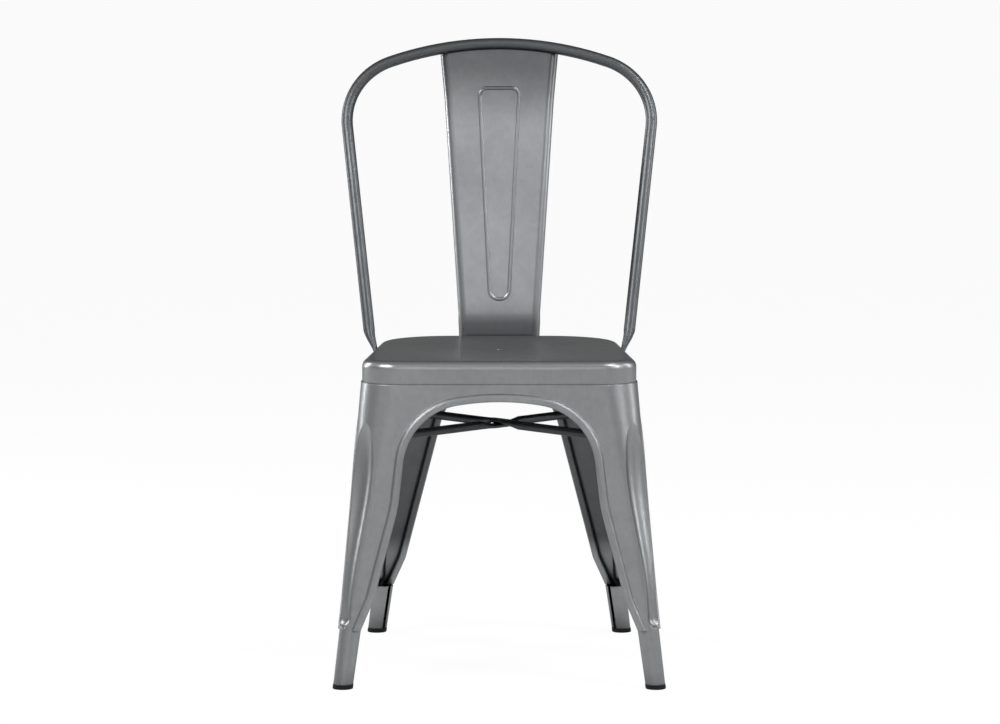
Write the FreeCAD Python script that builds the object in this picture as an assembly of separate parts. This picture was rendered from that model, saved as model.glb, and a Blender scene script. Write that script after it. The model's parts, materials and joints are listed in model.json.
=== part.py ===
"""Stacking bistro chair of pressed steel sheet and bent tube.

Millimetres, +Z up, the chair faces -Y. The origin is on the floor, midway between the four feet.
Left and right are the sitter's: left is +X.
Four pressed-sheet legs wrap the corners of a seat pan and meet in the middle of each side, where they
are butt-welded. Two crossing tubes brace them under the seat. A bent tube with flattened ends and a
ribbed sheet splat make the back.
"""
import FreeCAD, Part
import math
import os

V = FreeCAD.Vector

# Seat pan
SEAT_TOP = 435.0            # height of the rim
SEAT_DEPTH = 372.0
SEAT_MID_WIDTH = 348.2      # over the skirt, halfway along the side
SIDE_TAPER = 0.0745         # half-width lost per mm towards the rear
SKIRT_HEIGHT = 31.0         # from the rim down to the top edge of the legs
SKIRT_LAP = 11.0            # hidden part of the skirt, spot-welded inside the legs
SEAT_FRONT_RADIUS = 48.0
SEAT_REAR_RADIUS = 100.0
SEAT_EDGE_RADIUS = 11.0
DISH_DEPTH = 6.0
DISH_RIM = 24.0             # flat rim outside the dish
DRAIN_DIAMETER = 7.0
DRAIN_Y = 10.0
SHEET = 1.5                 # wall of all pressed sheet

# Legs
SIDE_SPLAY = 0.068          # outward travel per mm of drop
FRONT_SPLAY = 0.11
REAR_SPLAY = 0.19
FRONT_FOOT_OUT = 35.0       # foot centre in front of the seat's front edge
REAR_FOOT_OUT = 69.0        # foot centre behind the seat's rear edge
FRONT_FOOT_ASIDE = 34.9     # foot centre beyond the seat's side, halfway along it
REAR_FOOT_ASIDE = 1.9
FRONT_TUBE_TOP = 78.0       # height where the wings end and the foot tube begins
REAR_TUBE_TOP = 70.0
TUBE_TOP_RADIUS = 14.35
TUBE_FOOT_RADIUS = 13.25
TUBE_SLOT = 5.0

# Arches between the legs: corner points of the visible edge from the middle outwards, each as a share
# of the wing's half-width at its height, and of the height from the foot tube to the leg's top edge
FRONT_ARCH = [(0.143, 0.929), (0.627, 0.8825), (0.668, 0.497), (0.7925, 0.123)]
FRONT_ARCH_RADII = [337.0, 89.0, 200.0, 40.0]
REAR_ARCH = [(0.408, 0.904), (0.755, 0.12)]
REAR_ARCH_RADII = [84.0, 50.0]
SIDE_ARCH_TO_FRONT = [(0.1437, 0.9294), (0.652, 0.883), (0.688, 0.497), (0.804, 0.123)]
SIDE_ARCH_TO_REAR = [(0.1423, 0.931), (0.52, 0.892), (0.807, 0.126)]
SIDE_TO_FRONT_RADII = [337.0, 89.0, 200.0, 40.0]
SIDE_TO_REAR_RADII = [337.0, 80.0, 50.0]

# Rolled hem along each arch
HEM_RADIUS = 6.0
HEM_PROUD = 3.2             # how far it stands out of the sheet
HEM_GAP_FROM = 5.0          # degrees, the open part of the roll on its inner side
HEM_GAP_TO = 40.0

# Pressed flute down each leg's corner: it fades out towards the top and ends round at the bottom
FLUTE_FADE_DROP = 44.0      # below the leg's top edge
FLUTE_TOP_DROP = 92.0
FLUTE_BOTTOM_RISE = 17.0    # above the foot tube
FLUTE_TOP_HALF_WIDTH = 17.0
FLUTE_BOTTOM_HALF_WIDTH = 9.8
FLUTE_TOP_DEPTH = 5.0
FLUTE_BOTTOM_DEPTH = 3.6

# Rubber foot caps
CAP_HEIGHT = 6.0
CAP_PROUD = 0.5
CAP_STEM = 12.0
CAP_CLEARANCE = 0.15
CAP_EDGE = 1.2

# Crossing braces
BRACE_DIAMETER = 12.0
BRACE_WALL = 1.2
BRACE_DROP = 74.0           # axis below the leg's top edge
BRACE_FRONT_INSET = (32.2, 26.6)    # where the axis passes inside the sharp front corner
BRACE_REAR_INSET = (17.6, 26.6)
BRACE_FLAT_WIDTH = 16.0
BRACE_FLAT_HALF_LENGTH = 14.0
BRACE_BLEND_LENGTH = 26.0

# Back hoop
HOOP_DIAMETER = 16.0
HOOP_WALL = 1.5
HOOP_LEAN = 20.0            # degrees back from vertical
HOOP_BEHIND_CENTRE = 75.0   # where its plane crosses the leg tops, behind the middle of the seat
HOOP_TOP_UP = 468.7         # centre line's top, measured up the hoop's plane from the leg tops
HOOP_TOP_RADIUS = 453.0
HOOP_CORNER_RADIUS = 91.6
HOOP_FOOT_ASIDE = 7.1       # centre line beyond the seat's side
HOOP_FOOT_UP = 49.5         # where the round tube ends and the pressed ends begin
HOOP_FLARE = 6.3            # degrees, each side opens upwards
HOOP_BLADE_WIDTH = 21.5
HOOP_BLADE_THICKNESS = 3.4
HOOP_BLADE_RISE = 11.0      # above the leg's top edge, where the tube has become a flat blade
HOOP_BLADE_DROP = 12.5

# Splat
SPLAT_BEND_RISE = 25.0      # bend above the seat: upright below it, leaning back above it
SPLAT_BEND_RADIUS = 120.0
SPLAT_TAB_RISE = 7.0        # lower edge of its tab above the legs
SPLAT_FOOT_HALF_WIDTH = 56.0
SPLAT_BEND_HALF_WIDTH = 57.9
SPLAT_WAIST_HALF_WIDTH = 77.3
SPLAT_TOP_HALF_WIDTH = 84.6
SPLAT_WAIST_DROP = 80.0     # below the hoop's centre line
SPLAT_ROLL = 12.0           # radius of the rolled side edge
SPLAT_LIP = 14.0            # how far the rolled edge reaches back
BEND_STEPS = 4
RIB_RADIUS = 3.3
RIB_PROUD = 1.3
RIB_TOP_HALF_WIDTH = 28.3
RIB_BOTTOM_HALF_WIDTH = 13.3
RIB_TOP_DROP = 63.0
RIB_BOTTOM_UP = 25.8
RIB_TOP_RADIUS = 11.0
RIB_BOTTOM_RADIUS = 12.5

# Welds
BUTT_WELD_WIDTH = 1.6
CROSSING_WELD_RADIUS = 3.2
SEAM_WELD_RADIUS = 2.0
FILLET_WELD = 2.4
WELD_CLEARANCE = 0.3       # left between a weld and the curved part it lies on
SPLAT_WELD_HALF_LENGTH = 66.0
TAB_WELD_LENGTH = 24.0
TAB_WELD_OFFSET = 26.0

FRONT = -1
REAR = 1
SEAT_CENTRE_Y = (FRONT_FOOT_OUT - REAR_FOOT_OUT) / 2
SEAT_REAR_Y = SEAT_CENTRE_Y + SEAT_DEPTH / 2
SEAM_Z = SEAT_TOP - SKIRT_HEIGHT
LAP_Z = SEAM_Z - SKIRT_LAP
SIDE_X = SEAT_MID_WIDTH / 2 + SHEET * math.hypot(1, SIDE_TAPER)
SPLAY = {FRONT: FRONT_SPLAY, REAR: REAR_SPLAY}
TUBE_TOP = {FRONT: FRONT_TUBE_TOP, REAR: REAR_TUBE_TOP}
TOP_RADIUS = {FRONT: SEAT_FRONT_RADIUS + SHEET, REAR: SEAT_REAR_RADIUS + SHEET}
FOOT_X = {FRONT: SEAT_MID_WIDTH / 2 + FRONT_FOOT_ASIDE, REAR: SEAT_MID_WIDTH / 2 + REAR_FOOT_ASIDE}
FOOT_Y = (SEAT_DEPTH + FRONT_FOOT_OUT + REAR_FOOT_OUT) / 2
BRACE_Z = SEAM_Z - BRACE_DROP
BRACE_ROOM = 2.5 * BRACE_DIAMETER
REACH = 2 * (SEAT_TOP + SEAT_DEPTH + SEAT_MID_WIDTH)


def mirrored(shape):
    """The same piece on the other side of the chair."""
    return shape.mirror(V(0, 0, 0), V(1, 0, 0))


def line(a, b):
    return Part.LineSegment(a, b).toShape()


def arc(a, b, c):
    return Part.Arc(a, b, c).toShape()


def corner_radius(end, z, inset=0.0):
    """Plan radius of a leg's corner: wide under the seat, the foot tube's own radius at the bottom."""
    share = (SEAM_Z - z) / (SEAM_Z - TUBE_TOP[end])
    return TOP_RADIUS[end] + (TUBE_TOP_RADIUS - TOP_RADIUS[end]) * share - inset


def corner(end, z, inset=0.0):
    """Plan geometry of a left leg's corner at height z: its sharp point, centre, arc and directions."""
    drop = SEAM_Z - z
    y = SEAT_CENTRE_Y + end * (SEAT_DEPTH / 2 + SHEET + SPLAY[end] * drop - inset)
    x = SIDE_X + SIDE_SPLAY * drop - SIDE_TAPER * (y - SEAT_CENTRE_Y) - inset * math.hypot(1, SIDE_TAPER)
    along_side = V(SIDE_TAPER * end, -end, 0).normalize()
    along_end = V(-1, 0, 0)
    half_angle = along_side.getAngle(along_end) / 2
    inwards = (along_side + along_end).normalize()
    radius = corner_radius(end, z, inset)
    point = V(x, y, z)
    centre = point + inwards * (radius / math.sin(half_angle))
    reach = radius / math.tan(half_angle)
    return {"point": point, "centre": centre, "inwards": inwards, "radius": radius,
            "side": point + along_side * reach, "end": point + along_end * reach,
            "middle": centre - inwards * radius}


def quarter_section(end, z, inset):
    """Closed plan outline of a quarter of the chair's body at height z, left side."""
    c = corner(end, z, inset)
    side_x = SIDE_X + SIDE_SPLAY * (SEAM_Z - z) - inset * math.hypot(1, SIDE_TAPER)
    middle_side = V(side_x, SEAT_CENTRE_Y, z)
    middle_end = V(0, c["point"].y, z)
    heart = V(0, SEAT_CENTRE_Y, z)
    return Part.Wire([line(heart, middle_side), line(middle_side, c["side"]),
                      arc(c["side"], c["middle"], c["end"]),
                      line(c["end"], middle_end), line(middle_end, heart)])


def quarter_solid(end, inset, z_low, z_high):
    """Filled quarter of the body between two heights: two flat wings and a conical corner."""
    return Part.makeLoft([quarter_section(end, z_low, inset), quarter_section(end, z_high, inset)],
                         True, True)


def side_plane():
    """Frame of the flat side wing: origin halfway along the side at the leg's top edge."""
    outwards = V(1, SIDE_TAPER, SIDE_SPLAY).normalize()
    rearwards = V(-SIDE_TAPER, 1, 0).normalize()
    down = rearwards.cross(outwards).normalize()
    if down.z > 0:
        down = down * -1
    return V(SIDE_X, SEAT_CENTRE_Y, SEAM_Z), rearwards, down, outwards


def end_plane(end):
    """Frame of the flat front or rear wing: origin in the middle at the leg's top edge."""
    outwards = V(0, end, SPLAY[end]).normalize()
    down = V(0, end * SPLAY[end], -1).normalize()
    origin = V(0, SEAT_CENTRE_Y + end * (SEAT_DEPTH / 2 + SHEET), SEAM_Z)
    return origin, V(1, 0, 0), down, outwards


def rounded_path(points, radii, offset=0.0):
    """Edges of a polyline in a plane (x right, y up) with rounded corners, moved to its left side.

    Radii shrink where a straight is too short for the two corners at its ends.
    """
    directions = [(b - a).normalize() for a, b in zip(points, points[1:])]
    turns = [a.getAngle(b) for a, b in zip(directions, directions[1:])]
    reaches = [r * math.tan(t / 2) for r, t in zip(radii, turns)]
    ends = [0.0] + reaches + [0.0]
    scales = []
    for a, b, one, other in zip(points, points[1:], ends, ends[1:]):
        scales.append(min(1.0, 0.98 * (b - a).Length / max(one + other, 1e-6)))
    radii = [r * min(scales[i], scales[i + 1]) for i, r in enumerate(radii)]
    lefts = [V(-d.y, d.x, 0) for d in directions]
    moved = [points[0] + lefts[0] * offset]
    for i in range(1, len(points) - 1):
        bisector = (lefts[i - 1] + lefts[i]).normalize()
        moved.append(points[i] + bisector * (offset / bisector.dot(lefts[i])))
    moved.append(points[-1] + lefts[-1] * offset)
    edges = []
    at = moved[0]
    for i in range(1, len(moved) - 1):
        before, after = directions[i - 1], directions[i]
        turns_left = before.cross(after).z > 0
        radius = radii[i - 1] + (-offset if turns_left else offset)
        reach = radius * math.tan(turns[i - 1] / 2)
        start = moved[i] - before * reach
        finish = moved[i] + after * reach
        centre = start + (lefts[i - 1] if turns_left else lefts[i - 1] * -1) * radius
        halfway = centre + (moved[i] - centre).normalize() * radius
        edges.append((at, start))
        edges.append((start, halfway, finish))
        at = finish
    edges.append((at, moved[-1]))
    return edges


def placed(edges, origin, right, up):
    """Put the edges of a flat path into the plane of a wing."""
    def place(p):
        return origin + right * p.x + up * p.y
    shapes = []
    for edge in edges:
        points = [place(p) for p in edge]
        shapes.append(line(*points) if len(points) == 2 else arc(*points))
    return shapes


def arch_points(arch, frame, end, from_side):
    """Corner points of half an arch's visible edge, in its wing's plane, down to the foot tube."""
    origin, right, down, outwards = frame
    steepness = -down.z
    low = TUBE_TOP[end]
    top = -(SEAM_Z - low) * (1 - arch[0][1]) / steepness
    points = [V(-8, top, 0)]
    for share_out, share_up in arch:
        z = low + (SEAM_Z - low) * share_up
        point = corner(end, z)["point"]
        wing = abs(point.y - SEAT_CENTRE_Y) if from_side else point.x
        points.append(V(wing * share_out, -(SEAM_Z - z) / steepness, 0))
    centre = corner(end, low)["centre"]
    inner = abs(centre.y - SEAT_CENTRE_Y) if from_side else centre.x
    points.append(V(inner - TUBE_TOP_RADIUS, -(SEAM_Z - low) / steepness, 0))
    return points


def hem(points, radii, frame):
    """Rolled edge along half an arch: an open ring swept along the arch."""
    origin, right, down, outwards = frame
    up = down * -1
    path_origin = origin - outwards * (HEM_RADIUS - HEM_PROUD)
    last = points[-1] + (points[-1] - points[-2]).normalize() * (2 * HEM_RADIUS)
    path = placed(rounded_path(points[:-1] + [last], radii, HEM_RADIUS), path_origin, right, up)
    start = path[0].Vertexes[0].Point

    def ring_point(radius, degrees):
        angle = math.radians(degrees)
        return start + up * (radius * math.cos(angle)) + outwards * (-radius * math.sin(angle))

    half_turn = (HEM_GAP_TO + 360 + HEM_GAP_FROM) / 2
    outer, inner = HEM_RADIUS, HEM_RADIUS - SHEET
    end_angle = 360 + HEM_GAP_FROM
    quarter, three_quarter = (HEM_GAP_TO + half_turn) / 2, (half_turn + end_angle) / 2
    profile = Part.Wire([
        arc(ring_point(outer, HEM_GAP_TO), ring_point(outer, quarter), ring_point(outer, half_turn)),
        arc(ring_point(outer, half_turn), ring_point(outer, three_quarter), ring_point(outer, end_angle)),
        line(ring_point(outer, end_angle), ring_point(inner, end_angle)),
        arc(ring_point(inner, end_angle), ring_point(inner, three_quarter), ring_point(inner, half_turn)),
        arc(ring_point(inner, half_turn), ring_point(inner, quarter), ring_point(inner, HEM_GAP_TO)),
        line(ring_point(inner, HEM_GAP_TO), ring_point(outer, HEM_GAP_TO))])
    sweep = Part.BRepOffsetAPI.MakePipeShell(Part.Wire(path))
    sweep.setTransitionMode(1)
    sweep.add(profile)
    sweep.build()
    sweep.makeSolid()
    return sweep.shape()


def arch_trim(points, radii, frame):
    """Solid that removes the sheet below half an arch, as far as the middle of its rolled edge."""
    origin, right, down, outwards = frame
    up = down * -1
    edges = rounded_path(points, radii, 2 * HEM_RADIUS - SHEET / 2)
    first, last = edges[0][0], edges[-1][-1]
    low = -(SEAM_Z + 60)
    edges += [(last, V(last.x, low, 0)), (V(last.x, low, 0), V(first.x, low, 0)),
              (V(first.x, low, 0), first)]
    reach = 45.0
    face = Part.Face(Part.Wire(placed(edges, origin - outwards * reach, right, up)))
    return face.extrude(outwards * (2 * reach))


def flute_tool(end, wall):
    """Long plug that presses the flute into a leg's corner: round below, leaning out at the top."""
    stations = []
    for z, half_width, depth in ((TUBE_TOP[end] + FLUTE_BOTTOM_RISE, FLUTE_BOTTOM_HALF_WIDTH,
                                  FLUTE_BOTTOM_DEPTH),
                                 (SEAM_Z - FLUTE_TOP_DROP, FLUTE_TOP_HALF_WIDTH, FLUTE_TOP_DEPTH)):
        c = corner(end, z)
        radius = (half_width ** 2 + depth ** 2) / (2 * depth)
        floor = math.sqrt(c["radius"] ** 2 - half_width ** 2) - depth
        stations.append((c["centre"] - c["inwards"] * (floor + radius), radius))
    (low, low_radius), (high, high_radius) = stations
    middle, middle_radius = (low + high) * 0.5, (low_radius + high_radius) / 2
    c = corner(end, SEAM_Z - FLUTE_FADE_DROP)
    fade = c["centre"] - c["inwards"] * (c["radius"] + high_radius + 2 * SHEET)
    sections = [round_section(place, radius + wall)
                for place, radius in ((low, low_radius), (middle, middle_radius),
                                      (high, high_radius), (fade, high_radius))]
    return Part.makeLoft(sections, True, False).fuse(Part.makeSphere(low_radius + wall, low))


def tube_axis(end, z):
    """Centre of a left foot tube at height z, from the floor up to the wings."""
    foot = V(FOOT_X[end], end * FOOT_Y, 0)
    top = corner(end, TUBE_TOP[end])["centre"]
    return foot + (top - foot) * (z / TUBE_TOP[end])


def tube_radius(end, z):
    return TUBE_FOOT_RADIUS + (TUBE_TOP_RADIUS - TUBE_FOOT_RADIUS) * z / TUBE_TOP[end]


def round_section(centre, radius):
    return Part.Wire([Part.Circle(centre, V(0, 0, 1), radius).toShape()])


def foot_tube(end):
    """Round foot tube with the open seam that faces the middle of the chair."""
    bottom, top = CAP_HEIGHT, TUBE_TOP[end]
    outer = Part.makeLoft([round_section(tube_axis(end, z), tube_radius(end, z)) for z in (bottom, top)],
                          True, True)
    inner = Part.makeLoft([round_section(tube_axis(end, z), tube_radius(end, z) - SHEET)
                           for z in (bottom, top)], True, True)
    inwards = corner(end, top)["inwards"]
    across = V(-inwards.y, inwards.x, 0) * (TUBE_SLOT / 2)
    foot = tube_axis(end, 0)
    out = inwards * (2 * TUBE_TOP_RADIUS)
    slot = Part.Face(Part.makePolygon([foot + across, foot + across + out, foot - across + out,
                                       foot - across, foot + across]))
    slot = slot.extrude((tube_axis(end, top) - foot) * 1.2)
    return outer.cut([inner, slot])


def leg(end):
    """One left leg, pressed from a single sheet, still joined to the middle of both sides."""
    low = TUBE_TOP[end]
    outer = quarter_solid(end, 0, low, SEAM_Z)
    inner = quarter_solid(end, SHEET, low - 5, SEAM_Z + 5)
    inner = inner.cut(flute_tool(end, SHEET))
    sheet = outer.cut(inner).cut(flute_tool(end, 0))
    origin, rearwards, down, outwards = side_plane()
    if end == FRONT:
        side = (origin, rearwards * -1, down, outwards)
        side_points = arch_points(SIDE_ARCH_TO_FRONT, side, end, True)
        side_radii = SIDE_TO_FRONT_RADII
        end_points = arch_points(FRONT_ARCH, end_plane(end), end, False)
        end_radii = FRONT_ARCH_RADII
    else:
        side = (origin, rearwards, down, outwards)
        side_points = arch_points(SIDE_ARCH_TO_REAR, side, end, True)
        side_radii = SIDE_TO_REAR_RADII
        end_points = arch_points(REAR_ARCH, end_plane(end), end, False)
        end_radii = REAR_ARCH_RADII
    sheet = sheet.cut([arch_trim(side_points, side_radii, side),
                       arch_trim(end_points, end_radii, end_plane(end))])
    hems = [hem(side_points, side_radii, side), hem(end_points, end_radii, end_plane(end))]
    y_low = SEAT_CENTRE_Y if end == REAR else SEAT_CENTRE_Y - REACH
    quarter_room = Part.makeBox(REACH, REACH, SEAM_Z - low, V(0, y_low, low))
    hems = [h.common(quarter_room) for h in hems]
    return sheet.fuse(hems).fuse(foot_tube(end))


def foot_cap(end):
    """Rubber cap: a disc under the foot tube and a stem that plugs it."""
    radius = tube_radius(end, 0) + CAP_PROUD
    disc = Part.makeLoft([round_section(tube_axis(end, z), radius) for z in (0, CAP_HEIGHT)], True, True)
    rim = [e for e in disc.Edges if abs(e.BoundBox.ZMax) < 0.01]
    disc = disc.makeFillet(CAP_EDGE, rim)
    stem_radius = TUBE_FOOT_RADIUS - SHEET - CAP_CLEARANCE
    stem = Part.makeLoft([round_section(tube_axis(end, z), stem_radius)
                          for z in (CAP_HEIGHT, CAP_HEIGHT + CAP_STEM)], True, True)
    return disc.fuse(stem)


def seat_outline(z, inset=0.0):
    """Plan outline of the seat at height z: a tapered square with four rounded corners."""
    front, rear = (corner(end, SEAM_Z, SHEET + inset) for end in (FRONT, REAR))
    lift = V(0, 0, z - SEAM_Z)

    def left(p):
        return p + lift

    def right(p):
        return V(-p.x, p.y, p.z) + lift
    return Part.Wire([
        arc(left(front["end"]), left(front["middle"]), left(front["side"])),
        line(left(front["side"]), left(rear["side"])),
        arc(left(rear["side"]), left(rear["middle"]), left(rear["end"])),
        line(left(rear["end"]), right(rear["end"])),
        arc(right(rear["end"]), right(rear["middle"]), right(rear["side"])),
        line(right(rear["side"]), right(front["side"])),
        arc(right(front["side"]), right(front["middle"]), right(front["end"])),
        line(right(front["end"]), left(front["end"]))])


def dish_face(z):
    """Gently dished surface over the seat, flat along its rim."""
    half_x = SEAT_MID_WIDTH / 2 + 20
    half_y = SEAT_DEPTH / 2 + 20
    count = 9

    def sink(share, rim):
        return max(0.0, 1 - (abs(share) / (1 - rim)) ** 2) ** 2

    poles = []
    for i in range(count):
        across = -1 + 2 * i / (count - 1)
        row = []
        for j in range(count):
            along = -1 + 2 * j / (count - 1)
            rim_x = (20 + DISH_RIM) / half_x
            rim_y = (20 + DISH_RIM) / half_y
            depth = DISH_DEPTH * sink(across, rim_x) * sink(along, rim_y)
            row.append(V(across * half_x, SEAT_CENTRE_Y + along * half_y, z - depth))
        poles.append(row)
    degree = 3
    inside = count - degree - 1
    knots = [i / (inside + 1) for i in range(inside + 2)]
    multiplicities = [degree + 1] + [1] * inside + [degree + 1]
    surface = Part.BSplineSurface()
    surface.buildFromPolesMultsKnots(poles, multiplicities, multiplicities, knots, knots,
                                     False, False, degree, degree)
    return surface.toShape()


def seat_block(inset, drop, low):
    """Filled seat down to height low, its top dished and its upper edge rounded."""
    block = Part.Face(seat_outline(low, inset)).extrude(V(0, 0, SEAT_TOP + 10 - low))
    block = block.cut(dish_face(SEAT_TOP - drop).extrude(V(0, 0, 60)))
    top_edges = [e for e in block.Edges if e.BoundBox.ZMin > SEAT_TOP - drop - 0.5]
    return block.makeFillet(SEAT_EDGE_RADIUS - drop, top_edges)


def seat_pan():
    """Pressed seat: dished top, rounded edge, skirt, and the lap that sits inside the legs."""
    shell = seat_block(0, 0, SEAM_Z).cut(seat_block(SHEET, SHEET, SEAM_Z - 5))
    laps = []
    for end in (FRONT, REAR):
        outer = quarter_solid(end, SHEET, LAP_Z, SEAM_Z)
        inner = quarter_solid(end, 2 * SHEET, LAP_Z - 2, SEAM_Z + 2)
        lap = outer.cut(inner)
        laps += [lap, mirrored(lap)]
    drain = Part.makeCylinder(DRAIN_DIAMETER / 2, 60, V(0, DRAIN_Y, SEAT_TOP - 40))
    return shell.fuse(laps).removeSplitter().cut(drain)


def oval_section(centre, wide, thin, width, thickness):
    """Four-edged closed outline between a circle and a flat oval, about a centre."""
    end_radius = thickness / 2
    flat = max(width / 2 - end_radius, 0.0)
    if flat < 1e-6:
        a = end_radius * math.cos(math.pi / 4)
        corners = [(a, a), (-a, a), (-a, -a), (a, -a)]
        middles = [(0, end_radius), (-end_radius, 0), (0, -end_radius), (end_radius, 0)]
    else:
        corners = [(flat, end_radius), (-flat, end_radius), (-flat, -end_radius), (flat, -end_radius)]
        middles = [None, (-width / 2, 0), None, (width / 2, 0)]

    def place(p):
        return centre + wide * p[0] + thin * p[1]
    edges = []
    for i in range(4):
        a, b = place(corners[i]), place(corners[(i + 1) % 4])
        edges.append(line(a, b) if middles[i] is None else arc(a, place(middles[i]), b))
    return Part.Wire(edges)


def body_inside(end, low, high):
    """Room between the inner faces of the legs, on both sides of one end."""
    left = quarter_solid(end, SHEET, low, high)
    return [left, mirrored(left)]


def flute_bumps(wall):
    """What the flutes take out of the room inside the legs, all four corners."""
    bumps = []
    for end in (FRONT, REAR):
        left = flute_tool(end, wall)
        bumps += [left, mirrored(left)]
    return bumps


def brace_ends():
    """Directions and crossing point of the left-front to right-rear brace."""
    front = corner(FRONT, BRACE_Z)["point"] + V(-BRACE_FRONT_INSET[0], BRACE_FRONT_INSET[1], 0)
    rear = corner(REAR, BRACE_Z)["point"] - V(BRACE_REAR_INSET[0], BRACE_REAR_INSET[1], 0)
    rear.x = -rear.x
    direction = (rear - front).normalize()
    crossing = front + direction * (-front.x / direction.x)
    return direction, crossing


def brace_solid(direction, crossing, shift, inset):
    """Tube through the crossing, pressed flat and shifted up or down there."""
    across = V(-direction.y, direction.x, 0)
    up = V(0, 0, 1)
    diameter = BRACE_DIAMETER - 2 * inset
    flat_height = BRACE_DIAMETER / 2 - 2 * inset
    flat_width = BRACE_FLAT_WIDTH - 2 * inset
    flat_centre = crossing + up * (shift * BRACE_DIAMETER / 4)
    near, far = BRACE_FLAT_HALF_LENGTH, BRACE_FLAT_HALF_LENGTH + BRACE_BLEND_LENGTH
    pieces = []
    flats = [oval_section(flat_centre + direction * d, across, up, flat_width, flat_height)
             for d in (-near, near)]
    pieces.append(Part.makeLoft(flats, True, True))
    for side in (-1, 1):
        round_end = oval_section(crossing + direction * (side * far), across, up, diameter, diameter)
        flat_end = oval_section(flat_centre + direction * (side * near), across, up,
                                flat_width, flat_height)
        pieces.append(Part.makeLoft([flat_end, round_end], True, True))
        pieces.append(Part.makeCylinder(diameter / 2, REACH, crossing + direction * (side * far),
                                        direction * side))
    return pieces[0].fuse(pieces[1:])


def brace(mirror, shift):
    """One brace, hollow, its ends coped to the inner faces of the legs."""
    direction, crossing = brace_ends()
    if mirror:
        direction = V(-direction.x, direction.y, direction.z)
    outer = brace_solid(direction, crossing, shift, 0)
    inner = brace_solid(direction, crossing, shift, BRACE_WALL)
    low, high = BRACE_Z - BRACE_ROOM, BRACE_Z + BRACE_ROOM
    room = body_inside(FRONT, low, high) + body_inside(REAR, low, high)
    room = room[0].fuse(room[1:]).cut(flute_bumps(SHEET))
    return outer.cut(inner).common(room)


def brace_end_welds():
    """Fillet weld round each brace end, against the inside of the leg."""
    direction, crossing = brace_ends()
    low, high = BRACE_Z - BRACE_ROOM, BRACE_Z + BRACE_ROOM
    welds = []
    for mirror in (False, True):
        way = V(-direction.x, direction.y, direction.z) if mirror else direction
        rod = brace_solid(way, crossing, 0, 0)
        for end, sign in ((FRONT, -1), (REAR, 1)):
            outer = quarter_solid(end, SHEET, low, high)
            left_side = (way.x * sign) > 0
            room = outer if left_side else mirrored(outer)
            bump = flute_tool(end, SHEET)
            room = room.cut(bump if left_side else mirrored(bump))
            line_of_brace = line(crossing, crossing + way * (sign * REACH))
            tip = line_of_brace.common(room).Vertexes
            tip = max((v.Point for v in tip), key=lambda p: (p - crossing).Length)
            base = tip - way * (sign * 2 * FILLET_WELD)
            collar = Part.makeCone(BRACE_DIAMETER / 2 + 0.4, BRACE_DIAMETER / 2 + 2 * FILLET_WELD,
                                   5 * FILLET_WELD, base, way * sign)
            welds.append(collar.common(room).cut(rod))
    return Part.Compound([s for w in welds for s in w.Solids])


def brace_crossing_welds():
    """Two weld spots in the corners where the flattened braces cross."""
    direction, crossing = brace_ends()
    edge_radius = BRACE_DIAMETER / 4
    apart = edge_radius + CROSSING_WELD_RADIUS + WELD_CLEARANCE
    beside = BRACE_FLAT_WIDTH / 2 - edge_radius + math.sqrt(apart ** 2 - edge_radius ** 2)
    step = beside / abs(direction.y)
    return Part.Compound([Part.makeSphere(CROSSING_WELD_RADIUS, crossing + V(side * step, 0, 0))
                          for side in (-1, 1)])


def hoop_frame():
    """Origin, across and up directions, and backward normal of the hoop's plane."""
    lean = math.radians(HOOP_LEAN)
    origin = V(0, SEAT_CENTRE_Y + HOOP_BEHIND_CENTRE, SEAM_Z)
    return origin, V(1, 0, 0), V(0, math.sin(lean), math.cos(lean)), V(0, math.cos(lean), -math.sin(lean))


def hoop_half():
    """Left half of the hoop's centre line in its own plane: top arc, corner arc, straight side."""
    flare = math.radians(HOOP_FLARE)
    side_normal = V(math.cos(flare), -math.sin(flare), 0)
    foot = V(SEAT_MID_WIDTH / 2 + HOOP_FOOT_ASIDE, HOOP_FOOT_UP, 0)
    top_centre = V(0, HOOP_TOP_UP - HOOP_TOP_RADIUS, 0)
    between = HOOP_TOP_RADIUS - HOOP_CORNER_RADIUS
    reach = foot.dot(side_normal) - HOOP_CORNER_RADIUS - top_centre.dot(side_normal)
    sweep = math.asin(reach / between) + flare

    def on_circle(centre, radius, angle):
        return centre + V(radius * math.sin(angle), radius * math.cos(angle), 0)
    corner_centre = on_circle(top_centre, between, sweep)
    side_start = on_circle(corner_centre, HOOP_CORNER_RADIUS, math.pi / 2 + flare)
    return [(on_circle(top_centre, HOOP_TOP_RADIUS, 0), on_circle(top_centre, HOOP_TOP_RADIUS, sweep / 2),
             on_circle(top_centre, HOOP_TOP_RADIUS, sweep)),
            (on_circle(corner_centre, HOOP_CORNER_RADIUS, sweep),
             on_circle(corner_centre, HOOP_CORNER_RADIUS, (sweep + math.pi / 2 + flare) / 2), side_start),
            (side_start, foot)]


def hoop_foot():
    """Lower end of the left round tube, its direction down the side, and its axes."""
    origin, right, up, back = hoop_frame()
    start, foot = [origin + right * p.x + up * p.y for p in hoop_half()[-1]]
    way = (foot - start).normalize()
    return foot, way, back, back.cross(way).normalize()


def hoop_bar(radius):
    """Round bar of the given radius along the whole hoop."""
    origin, right, up, back = hoop_frame()
    left_edges = placed(hoop_half(), origin, right, up)
    right_edges = [mirrored(e) for e in left_edges]
    path = Part.Wire(Part.__sortEdges__(right_edges + left_edges))
    foot, way = hoop_foot()[:2]
    profile = Part.Wire([Part.Circle(foot, way, radius).toShape()])
    sweep = Part.BRepOffsetAPI.MakePipeShell(path)
    sweep.add(profile)
    sweep.build()
    sweep.makeSolid()
    return sweep.shape()


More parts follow.
